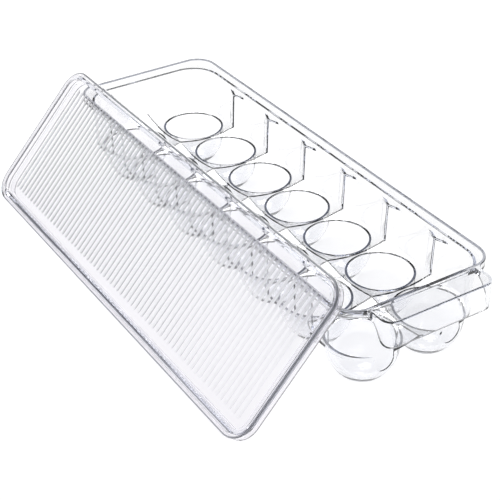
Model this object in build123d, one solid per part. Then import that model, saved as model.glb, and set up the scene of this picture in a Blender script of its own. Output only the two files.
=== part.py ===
from build123d import *
import math
import os

# Egg keeper: a clear moulded tray with two rows of egg cups and a pull handle, and a
# separate lid that leans on the tray's near long side, its ribbed face outwards.
# Lengths are in millimetres. +X runs along the tray towards the handle, +Y away from the
# leaning lid and +Z up. The origin is under the middle of the whole set, on the surface
# that the cups and the lid's lower edge stand on.

# Egg cups
cups_per_row = 7
cup_pitch = 48.0          # along the tray
row_spacing = 50.4        # between the two rows
cup_radius = 21.6         # inside, at the widest level
cup_widest = 26.1         # height of that level above the feet
cup_floor = 1.9           # thickness under the egg
cup_wall = 1.9
cup_flank = 27.0          # radius of the egg-shaped bowl's side, in section
foot_cut = 0.6            # height taken off the bowl to make its small flat foot

# Sloped shelf round each cup, and the walls above it
shelf_height = 30.5       # where a cup's bore opens out
shelf_angle = 18.0        # above the horizontal
front_shelf = 0.2         # from the last cups' bore to the front wall
back_shelf = 7.0
side_shelf = 4.1
wall = 2.0
well_corner = 21.0        # inside plan radius of the well at its top
wall_draft = 2.0          # degrees by which the walls lean out

# Upright ridges that part the eggs along the long walls
ridge_depth = 3.6
ridge_half_width = 9.5
ridge_top = 61.4
ridge_tip = 2.3           # radius of the ridge's edge

# Rim with the pocket that the lid drops into
rim_height = 70.0
rim_band = 6.0            # height of the thickened band
rim_wall = 1.7
rim_round = 0.6
pocket_depth = 4.6
pocket_corner = 14.2
side_ledge = 3.2
back_ledge = 3.2
front_ledge = 0.6

# Pull handle
handle_half_width = 40.5
handle_reach = 18.0       # out from the rim
handle_corner = 8.0
handle_root = 6.0         # hollow corner where the handle leaves the rim
handle_drop = 19.0        # height of its front skirt
handle_wall = 1.8
lip_thickness = 2.0
sweep_length = 17.0       # run of the S-curve along the handle's side

# Lid
lid_lip = 6.2             # height of its outer edge, which rests on the rim when closed
lip_wall = 1.4
lid_skin = 1.7            # thickness of the flat border, over the channel behind the lip
lid_clearance = 0.3       # between its plug and the pocket's ledge
plug_play = 1.1           # between its plug and the pocket's wall
plug_taper = 1.0          # by which the plug narrows downwards
plug_wall = 1.6
lid_flange = 5.2          # flat border round the sunk panel
lid_sink = 4.2            # depth of the panel below the border
lid_panel = 2.0
lid_slope = 12.0          # draft of the wall round the sunk panel
lid_round = 0.6
rib_pitch = 4.9
rib_width = 2.9
rib_height = 0.4
rib_sink = 0.3            # part of a rib's section that lies inside the panel
rib_side_margin = 12.2    # from the lid's long edges to the ribs' ends
rib_end_margin = 15.5     # from the lid's short edges to the first rib

# How the lid leans
lean_angle = 47.8         # above the horizontal
lean_gap = 0.3            # from the tray's rim
lid_shift = -4.0          # along the tray, from the tray's middle

# Sizes that follow
rim_length = (rim_wall + back_ledge + back_shelf + cup_radius + (cups_per_row - 1) * cup_pitch
              + cup_radius + front_shelf + front_ledge + rim_wall)
rim_width = row_spacing + 2 * (cup_radius + side_shelf + side_ledge + rim_wall)
rim_x = rim_length / 2
rim_y = rim_width / 2
well_front = rim_x - rim_wall - front_ledge
well_back = -rim_x + rim_wall + back_ledge
well_y = rim_y - rim_wall - side_ledge
rim_corner = pocket_corner + rim_wall
last_cup_x = well_front - front_shelf - cup_radius
cup_xs = [last_cup_x - i * cup_pitch for i in range(cups_per_row)]
cup_ys = [-row_spacing / 2, row_spacing / 2]
ridge_xs = [x - cup_pitch / 2 for x in cup_xs[:-1]]
ledge_z = rim_height - pocket_depth
band_z = rim_height - rim_band
flute_top = ridge_top - wall
slope = math.tan(math.radians(shelf_angle))
draft_run = math.tan(math.radians(wall_draft))
shelf_reach = wall + max(math.hypot(cup_pitch, row_spacing) / 2,
                         math.hypot(cup_radius + back_shelf, cup_radius + side_shelf))
seam_turn = 37.0          # keeps a cup's seam off the lines where its neighbours meet it

plug_depth = pocket_depth - lid_clearance
plug_inset = rim_wall + plug_play
plug_foot = plug_inset + plug_taper
lid_height = plug_depth + lid_lip


def slab(plan, low, high):
    """A straight-sided solid on a plan, between two heights."""
    return Pos(0, 0, low) * extrude(plan, high - low)


def rounded_plan(x_low, x_high, half_width, radius):
    size = RectangleRounded(x_high - x_low, 2 * half_width, radius)
    return Pos((x_low + x_high) / 2, 0) * size


def well_plan(grow, level):
    """Plan of the tray's inside at a level, or of its outside when grown by the wall."""
    grow -= (ledge_z - level) * draft_run
    return rounded_plan(well_back - grow, well_front + grow, well_y + grow, well_corner + grow)


def well_form(grow, low, high):
    """The inside, or the outside, between two levels, with the walls' draft."""
    return loft([Pos(0, 0, low) * well_plan(grow, low), Pos(0, 0, high) * well_plan(grow, high)],
                ruled=True)


def ridges(grow, low, high):
    """The wedges that the inside leaves out, or the flutes behind them when grown by the wall."""
    flank = math.atan2(ridge_depth, ridge_half_width)
    tip_y = well_y - ridge_depth + grow / math.cos(flank)
    base_y = well_y + grow + 2 * wall
    base_half = (base_y - tip_y) / math.tan(flank)
    wedge = Polygon((-base_half, base_y), (0, tip_y), (base_half, base_y), align=None)
    if grow < ridge_tip:
        wedge = fillet(wedge.vertices().sort_by(Axis.Y)[0], ridge_tip - grow)
    sunk = (ledge_z - low) * draft_run
    along = Vector(0, draft_run, 1)
    upright = extrude(Pos(0, -sunk, low) * wedge, (high - low) * along.length, dir=along)
    both = upright + mirror(upright, Plane.XZ)
    return Part() + [Pos(x, 0, 0) * both for x in ridge_xs]


def cup_form(radius, bottom, flank, shoulder, top):
    """Solid of revolution: an egg-shaped bowl, a short bore, a cone and a wide column.

    The bowl's section is a side arc, upright where the cup is widest, and a bottom arc
    tangent to it. Anything below the table's level is left off, which makes the foot.
    """
    depth = cup_widest - bottom
    tip = (radius * (2 * flank - radius) - depth ** 2) / (2 * (flank - depth))
    tip_z = bottom + tip
    turn = math.degrees(math.atan2(tip_z - cup_widest, flank - radius))
    start = -90.0 if bottom >= 0 else -math.degrees(math.asin(tip_z / tip))
    low = CenterArc((0, tip_z), tip, start, turn - start)
    side = CenterArc((radius - flank, cup_widest), flank, turn, -turn)
    rise = max(top, shoulder + (shelf_reach - radius) * slope)
    edge = Polyline(side @ 1, (radius, shoulder),
                    (shelf_reach, shoulder + (shelf_reach - radius) * slope),
                    (shelf_reach, rise), (0, rise), (0, (low @ 0).Y), low @ 0)
    profile = Plane.XZ * make_face(Curve() + [low, side, edge])
    return Rot(0, 0, seam_turn) * revolve(profile, Axis.Z)


def all_cups(form):
    return Part() + [Pos(x, y, 0) * form for x in cup_xs for y in cup_ys]


def make_handle_block():
    """The rim's band with the handle's block on its front, cut to the S-curve below."""
    front = rim_x + handle_reach
    skirt_z = rim_height - handle_drop
    grip = Pos((rim_x - rim_corner + front) / 2, 0) * Rectangle(
        front - rim_x + rim_corner, 2 * handle_half_width)
    grip = fillet(grip.vertices().group_by(Axis.X)[-1], handle_corner)
    plan = rounded_plan(-rim_x, rim_x, rim_y, rim_corner) + grip
    plan = offset(offset(plan, handle_root, kind=Kind.ARC), -handle_root, kind=Kind.ARC)
    block = slab(plan, skirt_z, rim_height)

    start = (rim_x + 0.4, band_z)
    end = (rim_x + 0.4 + sweep_length, skirt_z)
    sweep_curve = Spline(start, end, tangents=[(1, 0), (1, 0)], tangent_scalars=[1.3, 1.3])
    below = Polyline(end, (end[0], skirt_z - wall), (-rim_x - wall, skirt_z - wall),
                     (-rim_x - wall, band_z), start)
    under = make_face(Curve() + [sweep_curve, below])
    cutter = extrude(Plane.XZ * under, rim_width, both=True)
    block -= cutter
    top_edges = block.faces().sort_by(Axis.Z)[-1].outer_wire().edges()
    return fillet(top_edges, rim_round)


def make_tray():
    shoulder_drop = cup_wall / math.cos(math.radians(shelf_angle)) - cup_wall * slope
    bowl_in = cup_form(cup_radius, cup_floor, cup_flank, shelf_height, ridge_top)
    bowl_out = cup_form(cup_radius + cup_wall, -foot_cut, cup_flank + cup_wall,
                        shelf_height - shoulder_drop, flute_top)

    outside = all_cups(bowl_out) & (well_form(wall, -wall, flute_top) - ridges(wall, -wall, flute_top))
    outside += well_form(wall, flute_top, band_z + rim_round)
    outside += make_handle_block()

    hollow = all_cups(bowl_in) & (well_form(0, -wall, ridge_top) - ridges(0, -wall, ridge_top))
    hollow += well_form(0, ridge_top, ledge_z)
    pocket = rounded_plan(-rim_x + rim_wall, rim_x - rim_wall, rim_y - rim_wall, pocket_corner)
    hollow += slab(pocket, ledge_z, rim_height + wall)

    behind = rim_x - rim_wall - front_ledge + wall
    room = Pos((behind + rim_x + handle_reach - handle_wall) / 2, 0) * Rectangle(
        rim_x + handle_reach - handle_wall - behind, 2 * (handle_half_width - handle_wall))
    room = fillet(room.vertices().group_by(Axis.X)[-1], handle_corner - handle_wall)
    finger_room = slab(room, 0, rim_height - lip_thickness)
    return outside - hollow - finger_room


def lid_plan(inset):
    return RectangleRounded(rim_length - 2 * inset, rim_width - 2 * inset,
                            max(rim_corner - inset, lid_round))


def tapered(inset_low, inset_top, low, top):
    return loft([Pos(0, 0, low) * lid_plan(inset_low), Pos(0, 0, top) * lid_plan(inset_top)],
                ruled=True)


def make_lid():
    """The lid lying flat, the foot of its plug on Z = 0."""
    plate = slab(lid_plan(0), plug_depth, lid_height)
    plate = fillet(plate.faces().sort_by(Axis.Z)[-1].edges(), lid_round)
    shell = plate + tapered(plug_foot, plug_inset, 0, plug_depth)
    channel = (slab(lid_plan(lip_wall), plug_depth, lid_height - lid_skin)
               - slab(lid_plan(plug_inset), plug_depth, lid_height - lid_skin))

    face_z = lid_height - lid_sink
    run = math.tan(math.radians(lid_slope))
    recess = tapered(lid_flange + lid_sink * run, lid_flange, face_z, lid_height)
    shell = shell - channel - recess - slab(lid_plan(plug_foot + plug_wall), 0, face_z - lid_panel)

    arc_radius = ((rib_width / 2) ** 2 + rib_height ** 2) / (2 * rib_height)
    section = Plane.XZ * (Pos(0, face_z + rib_height - arc_radius) * Circle(arc_radius)
                          & Pos(0, face_z + rib_height / 2 - rib_sink / 2)
                          * Rectangle(rib_width, rib_height + rib_sink))
    rib = extrude(section, rim_width / 2, both=True)
    rib &= slab(SlotOverall(rim_width - 2 * rib_side_margin, rib_width, rotation=90), 0, lid_height)
    gaps = int((rim_length - 2 * rib_end_margin) / rib_pitch)
    xs = [(i - gaps / 2) * rib_pitch for i in range(gaps + 1)]
    return shell + [Pos(x, 0, 0) * rib for x in xs]


def lean(lid):
    """Stand the lid on its lower long edge, the plug's far end against the rounded rim."""
    angle = math.radians(lean_angle)
    edge = plug_depth * math.cos(angle) - rim_y * math.sin(angle)
    foot = (plug_foot - rim_y) * math.sin(angle)
    lift = -min(edge, foot)
    past_corner = max(lid_shift - plug_foot - plug_wall + rim_corner, 0)
    rim_edge = -rim_y + rim_corner - math.sqrt(rim_corner ** 2 - past_corner ** 2)
    out = ((rim_height - lift) * math.cos(angle) + lean_gap) / math.sin(angle)
    return Pos(lid_shift, rim_edge - out, lift) * Rot(lean_angle, 0, 0) * lid


tray = make_tray()
lid = lean(make_lid())

# The origin goes under the middle of the set's own box.
box = tray.bounding_box().add(lid.bounding_box())
centre = box.center()
to_origin = Pos(-centre.X, -centre.Y, -box.min.Z)

os.makedirs("parts", exist_ok=True)
for name, solid in (("tray", tray), ("lid", lid)):
    placed = to_origin * solid
    placed.label = name
    export_step(placed, f"parts/{name}.step")
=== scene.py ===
import bpy
import bmesh
import math
from mathutils import Matrix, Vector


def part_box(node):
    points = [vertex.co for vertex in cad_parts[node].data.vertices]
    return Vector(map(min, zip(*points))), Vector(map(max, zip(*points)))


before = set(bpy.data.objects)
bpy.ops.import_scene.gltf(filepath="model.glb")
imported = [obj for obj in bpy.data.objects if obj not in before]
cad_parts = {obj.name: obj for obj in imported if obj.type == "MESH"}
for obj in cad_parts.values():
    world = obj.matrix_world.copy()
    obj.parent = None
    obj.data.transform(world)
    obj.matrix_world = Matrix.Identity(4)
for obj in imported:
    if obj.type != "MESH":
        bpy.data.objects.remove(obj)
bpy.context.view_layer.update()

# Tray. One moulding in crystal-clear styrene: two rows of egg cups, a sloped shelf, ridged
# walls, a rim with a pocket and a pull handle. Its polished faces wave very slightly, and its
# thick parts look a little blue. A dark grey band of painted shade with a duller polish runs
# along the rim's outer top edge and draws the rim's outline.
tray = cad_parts["tray"]
tray_low, tray_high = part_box("tray")
rim_length = 0.3456        # without the handle
rim_front = tray_low[0] + rim_length
tray_tint = (0.995, 0.995, 0.998, 1)
depth_tint = (0.57, 0.61, 0.73, 1)   # what light keeps as it runs along inside the plastic
depth_density = 28.0       # per metre
styrene_ior = 1.57
mould_roughness = 0.015
wipe_roughness = 0.05      # where hands and cloths have dulled the polish
wipe_scale = 28.0          # noise cells in a metre
wipe_detail = 4.0
wipe_starts = 0.52         # noise values between which the polish turns dull
wipe_full = 0.75
flow_scale = 60.0          # noise cells in a metre
flow_detail = 1.0
flow_wave = 0.00001        # height of the moulding's faint waves
painted_outline_width = 0.0011       # how far from its edge the painted dark outline reaches
rim_outline_fade = 0.2       # share of that width, to each side, over which the painted outline fades
handle_outline_fade = 0.5    # the same, where the handle begins
# Painted shade: the dark grey tint of the band drawn along the rim's outer top edge as its outline.
painted_outline_tint = (0.30, 0.31, 0.35, 1)
outline_roughness = 0.3


def feed(node, inputs):
    """Sets a node's inputs to numbers and colours, or links them to other nodes' outputs."""
    for name, value in inputs.items():
        if isinstance(value, bpy.types.NodeSocket):
            node.id_data.links.new(value, node.inputs[name])
        else:
            node.inputs[name].default_value = value
    return node


def add_node(tree, kind, inputs, **settings):
    """Adds a shader node, with its settings made before its inputs are fed."""
    node = tree.nodes.new("ShaderNode" + kind)
    for setting, value in settings.items():
        setattr(node, setting, value)
    return feed(node, inputs)


def fed_by(node, name):
    """What an input has now: another node's output, or its own value."""
    socket = node.inputs[name]
    return socket.links[0].from_socket if socket.is_linked else socket.default_value


def clear_styrene(name, tint):
    """Clear polished plastic with faint waves; lamps shine through it to the table."""
    plastic = bpy.data.materials.new(name)
    plastic.use_nodes = True
    tree = plastic.node_tree
    place = add_node(tree, "TexCoord", {}).outputs["Object"]
    wiping = add_node(tree, "TexNoise", {"Vector": place, "Scale": wipe_scale, "Detail": wipe_detail})
    dulling = add_node(tree, "MapRange", {"Value": wiping.outputs["Fac"],
                                          "From Min": wipe_starts, "From Max": wipe_full,
                                          "To Min": mould_roughness, "To Max": wipe_roughness})
    flow = add_node(tree, "TexNoise", {"Vector": place, "Scale": flow_scale, "Detail": flow_detail})
    waves = add_node(tree, "Bump", {"Height": flow.outputs["Fac"], "Strength": 1.0, "Distance": flow_wave})
    body = feed(tree.nodes["Principled BSDF"], {
        "Base Color": tint, "IOR": styrene_ior, "Transmission Weight": 1.0,
        "Roughness": dulling.outputs["Result"], "Normal": waves.outputs["Normal"]})

    rays = add_node(tree, "LightPath", {})
    passing = add_node(tree, "Math", {0: rays.outputs["Is Shadow Ray"], 1: rays.outputs["Is Diffuse Ray"]},
                       operation="MAXIMUM")
    lamp_light = add_node(tree, "BsdfTransparent", {"Color": tint})
    surface = add_node(tree, "MixShader", {"Fac": passing.outputs["Value"],
                                           1: body.outputs["BSDF"], 2: lamp_light.outputs["BSDF"]})
    inside = add_node(tree, "VolumeAbsorption", {"Color": depth_tint, "Density": depth_density})
    feed(tree.nodes["Material Output"], {"Surface": surface.outputs["Shader"],
                                         "Volume": inside.outputs["Volume"]})
    return plastic


def rise(tree, value, start, end):
    """A mask that goes from 0 to 1 as the value goes from start to end."""
    ends = {"Value": value, "From Min": start, "From Max": end}
    return add_node(tree, "MapRange", ends, interpolation_type="SMOOTHSTEP").outputs["Result"]


def both(tree, first, second):
    """Where two masks overlap."""
    return add_node(tree, "Math", {0: first, 1: second}, operation="MULTIPLY").outputs["Value"]


def dull(tree, mask, tint, roughness):
    """Gives the plastic under a mask another tint and roughness."""
    body = tree.nodes["Principled BSDF"]
    tints = add_node(tree, "Mix", {"Factor": mask, "A": fed_by(body, "Base Color"), "B": tint},
                     data_type="RGBA")
    polish = add_node(tree, "Mix", {"Factor": mask, "A": fed_by(body, "Roughness"), "B": roughness})
    feed(body, {"Base Color": tints.outputs["Result"], "Roughness": polish.outputs["Result"]})


tray_styrene = clear_styrene("tray_clear_styrene", tray_tint)
tray_tree = tray_styrene.node_tree
tray_place = add_node(tray_tree, "TexCoord", {}).outputs["Object"]
tray_spot = add_node(tray_tree, "SeparateXYZ", {"Vector": tray_place})
# A band of painted shade, dark grey and duller, along the rim's outer top edge, stopping where the handle
# begins.
rim_top_edge = rise(tray_tree, tray_spot.outputs["Z"],
                    tray_high[2] - (1 + rim_outline_fade) * painted_outline_width,
                    tray_high[2] - (1 - rim_outline_fade) * painted_outline_width)
behind_handle = rise(tray_tree, tray_spot.outputs["X"],
                     rim_front + handle_outline_fade * painted_outline_width,
                     rim_front - handle_outline_fade * painted_outline_width)
dull(tray_tree, both(tray_tree, rim_top_edge, behind_handle), painted_outline_tint, outline_roughness)
tray.material_slots[0].material = tray_styrene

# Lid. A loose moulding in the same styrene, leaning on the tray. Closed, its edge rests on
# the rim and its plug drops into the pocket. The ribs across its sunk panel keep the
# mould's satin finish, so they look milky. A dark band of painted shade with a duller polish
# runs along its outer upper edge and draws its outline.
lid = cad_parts["lid"]
lid_tint = (0.998, 0.99, 1.0, 1)
rib_tint = (0.99, 0.98, 1.0, 1)
rib_roughness = 0.4
# Painted shade: the near-black tint of the band drawn along the lid's outer upper edge as its outline.
lid_painted_outline_tint = (0.16, 0.165, 0.18, 1)
lid_outline_fade = 0.1
lid_lean = math.radians(47.8)
lid_half_length = 0.1728
lid_half_width = 0.0558
lid_corner = 0.0159
lid_height = 0.0105        # from the plug's foot up to the flat border
plug_depth = 0.0043        # from the plug's foot up to the lid's edge
plug_foot = 0.0038         # how far the plug's foot is set in from the edge
panel_face = 0.0063        # from the plug's foot up to the sunk panel
rib_height = 0.0004
satin_starts = 0.05        # shares of a rib's height between which its satin sets in
satin_full = 0.5
satin_ends = 1.1           # and just above its top, between which it goes, so that the
satin_gone = 1.3           # higher border stays polished


def lid_flat_frame():
    """Where the middle of the lid's lower side is, as it leans."""
    low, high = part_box("lid")
    edge_low = plug_depth * math.cos(lid_lean) - lid_half_width * math.sin(lid_lean)
    foot_low = (plug_foot - lid_half_width) * math.sin(lid_lean)
    edge_far = lid_half_width * math.cos(lid_lean) - plug_depth * math.sin(lid_lean)
    foot_far = (lid_half_width - plug_foot) * math.cos(lid_lean)
    return ((low[0] + high[0]) / 2, high[1] - max(edge_far, foot_far), -min(edge_low, foot_low))


lid_styrene = clear_styrene("lid_clear_styrene", lid_tint)
lid_tree = lid_styrene.node_tree
lid_place = add_node(lid_tree, "TexCoord", {}).outputs["Object"]
flattening = add_node(lid_tree, "Mapping", {"Vector": lid_place, "Location": lid_flat_frame(),
                                            "Rotation": (lid_lean, 0, 0)}, vector_type="TEXTURE")
laid_flat = flattening.outputs["Vector"]
flat_height = add_node(lid_tree, "SeparateXYZ", {"Vector": laid_flat}).outputs["Z"]
above_panel = rise(lid_tree, flat_height,
                   panel_face + satin_starts * rib_height, panel_face + satin_full * rib_height)
below_border = rise(lid_tree, flat_height,
                    panel_face + satin_gone * rib_height, panel_face + satin_ends * rib_height)
dull(lid_tree, both(lid_tree, above_panel, below_border), rib_tint, rib_roughness)


def vector_step(operation, vector, by=(0, 0, 0)):
    """One step of vector arithmetic in the lid's material."""
    step = add_node(lid_tree, "VectorMath", {0: vector, 1: by}, operation=operation)
    return step.outputs["Value" if operation == "LENGTH" else "Vector"]


# A band of painted shade, dark and duller, along the lid's outer upper edge.
corner_centre = (lid_half_length - lid_corner, lid_half_width - lid_corner, 0)
in_plan = (1, 1, 0)
past_corner = vector_step("SUBTRACT", vector_step("ABSOLUTE", laid_flat), corner_centre)
outside_corner = vector_step("MULTIPLY", vector_step("MAXIMUM", past_corner), in_plan)
outer_edge = rise(lid_tree, vector_step("LENGTH", outside_corner),
                  lid_corner - (1 + lid_outline_fade) * painted_outline_width,
                  lid_corner - (1 - lid_outline_fade) * painted_outline_width)
upper_edge = rise(lid_tree, flat_height,
                  lid_height - (1 + lid_outline_fade) * painted_outline_width,
                  lid_height - (1 - lid_outline_fade) * painted_outline_width)
dull(lid_tree, both(lid_tree, outer_edge, upper_edge), lid_painted_outline_tint, outline_roughness)
lid.material_slots[0].material = lid_styrene

# Tabletop. A very large sheet of plain white paper just under the set, which keeps the
# set's soft shadow. A faint glow, where it is seen or mirrored, lifts it to a clean white.
sheet_half_side = 15.0
sheet_gap = 0.0005         # under the feet
paper_white = (0.8, 0.8, 0.8, 1)
paper_roughness = 0.9
paper_glow = 0.38
table_mesh = bpy.data.meshes.new("table")
paper_sheet = bmesh.new()
bmesh.ops.create_grid(paper_sheet, x_segments=1, y_segments=1, size=sheet_half_side,
                      matrix=Matrix.Translation((0, 0, -sheet_gap)))
paper_sheet.to_mesh(table_mesh)
paper_sheet.free()
table = bpy.data.objects.new("table", table_mesh)
bpy.context.collection.objects.link(table)

paper = bpy.data.materials.new("table_paper")
paper.use_nodes = True
paper_tree = paper.node_tree
sheet = feed(paper_tree.nodes["Principled BSDF"], {"Base Color": paper_white, "Roughness": paper_roughness})
glow = add_node(paper_tree, "Emission", {"Strength": paper_glow})
lit_sheet = add_node(paper_tree, "AddShader", {0: sheet.outputs["BSDF"], 1: glow.outputs["Emission"]})
rays = add_node(paper_tree, "LightPath", {})
mirrored = add_node(paper_tree, "Math", {0: rays.outputs["Is Camera Ray"], 1: rays.outputs["Is Glossy Ray"]},
                    operation="MAXIMUM")
seen = add_node(paper_tree, "Math", {0: mirrored.outputs["Value"], 1: rays.outputs["Is Transmission Ray"]},
                operation="MAXIMUM")
as_seen = add_node(paper_tree, "MixShader", {"Fac": seen.outputs["Value"],
                                             1: sheet.outputs["BSDF"], 2: lit_sheet.outputs["Shader"]})
feed(paper_tree.nodes["Material Output"], {"Surface": as_seen.outputs["Shader"]})
table_mesh.materials.append(paper)

# Studio. A large soft overhead light and a dim room round it, whose dark horizon draws
# the edges of clear plastic as grey lines. Light needs many bounces to cross both pieces.
horizon_light = 0.06
overhead_light = 0.42
overhead_from = 0.55       # sine of the angle above the horizon at which it is full
clear_bounces = 32
mirror_bounces = 10
softbox_width = 1.0
softbox_watts = 19
softbox_place = (-0.7, 0.3, 1.5)
softbox_tilt = math.radians(-25)

room = bpy.data.worlds.new("studio_room")
bpy.context.scene.world = room
room.use_nodes = True
direction = add_node(room.node_tree, "TexCoord", {}).outputs["Generated"]
upward = add_node(room.node_tree, "SeparateXYZ", {"Vector": direction}).outputs["Z"]
brightness = add_node(room.node_tree, "MapRange",
                      {"Value": upward, "From Min": 0.0, "From Max": overhead_from,
                       "To Min": horizon_light, "To Max": overhead_light}, interpolation_type="SMOOTHSTEP")
feed(room.node_tree.nodes["Background"], {"Color": (1, 1, 1, 1), "Strength": brightness.outputs["Result"]})
bpy.context.scene.cycles.max_bounces = clear_bounces
bpy.context.scene.cycles.transmission_bounces = clear_bounces
bpy.context.scene.cycles.glossy_bounces = mirror_bounces

softbox = bpy.data.lights.new("softbox", "AREA")
softbox.shape = "SQUARE"
softbox.size = softbox_width
softbox.energy = softbox_watts
softbox_stand = bpy.data.objects.new("softbox", softbox)
bpy.context.collection.objects.link(softbox_stand)
softbox_stand.location = softbox_place
softbox_stand.rotation_euler = (0, softbox_tilt, 0)

# Camera. Beside the handle end and in front of the lid, looking down on the set.
camera_turn = math.radians(57.76)
camera_down = math.radians(33.57)
camera_roll = math.radians(-0.51)
eye_from_tray = (0.6281, -0.40751, 0.49688)   # from the middle of the tray's rim, at the table
sensor_width = 36.0        # millimetres, as the lens is
lens_length = 91.03
nearest_seen = 0.01
camera_data = bpy.data.cameras.new("camera")
camera_data.sensor_width = sensor_width
camera_data.lens = lens_length
camera_data.clip_start = nearest_seen
camera = bpy.data.objects.new("camera", camera_data)
bpy.context.collection.objects.link(camera)
rim_middle = (tray_low[0] + rim_length / 2, (tray_low[1] + tray_high[1]) / 2, 0)
eye = [middle + offset for middle, offset in zip(rim_middle, eye_from_tray)]
camera.matrix_world = (Matrix.Translation(eye) @ Matrix.Rotation(camera_turn, 4, "Z")
                       @ Matrix.Rotation(math.pi / 2 - camera_down, 4, "X")
                       @ Matrix.Rotation(camera_roll, 4, "Z"))
bpy.context.scene.camera = camera
bpy.context.scene.view_settings.view_transform = "Standard"
